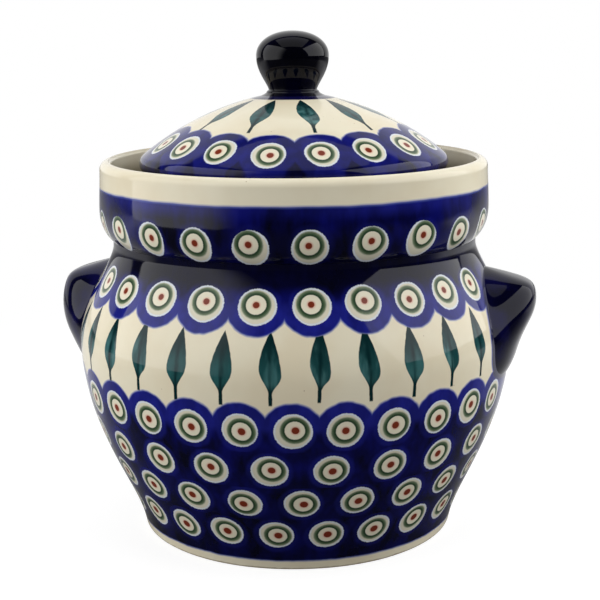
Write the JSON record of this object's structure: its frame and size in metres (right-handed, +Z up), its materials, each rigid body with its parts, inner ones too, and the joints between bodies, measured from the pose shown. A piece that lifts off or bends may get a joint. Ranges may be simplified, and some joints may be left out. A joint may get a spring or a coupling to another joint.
{
  "type": "fermentation crock",
  "caption": "Glazed stoneware fermentation crock with a water channel round its mouth, a lift-off bell lid with a bulb knob, lug handles and half-moon pressing stones inside.",
  "frame": {"origin": "centre of the foot ring, on the surface that the crock stands on", "axes": "+Z up along the pot's axis, +X towards the right-hand handle seen from the front, -Y towards the front"},
  "size_m": [0.276, 0.246, 0.28],
  "materials": {
    "cream_glaze": "gloss",
    "cobalt_glaze": "gloss",
    "navy_glaze": "gloss",
    "bare_clay": "matt"
  },
  "bodies": {
    "crock": {"jar_body": "cream_glaze", "neck_ring": "cream_glaze", "channel_collar": "cobalt_glaze", "handle_left": "navy_glaze", "handle_right": "navy_glaze"},
    "lid": {"lid_dome": "cobalt_glaze", "lid_knob": "navy_glaze"},
    "stone_left": {"weight_left": "bare_clay"},
    "stone_right": {"weight_right": "bare_clay"}
  },
  "joints": [
    {"name": "lid_lift", "type": "slide", "parent": "crock", "child": "lid", "axis": [0, 0, 1], "range_m": [0, 0.12]},
    {"name": "weight_left_lift", "type": "slide", "parent": "crock", "child": "stone_left", "axis": [0, 0, 1], "range_m": [0, 0.125]},
    {"name": "weight_right_lift", "type": "slide", "parent": "crock", "child": "stone_right", "axis": [0, 0, 1], "range_m": [0, 0.125]}
  ]
}
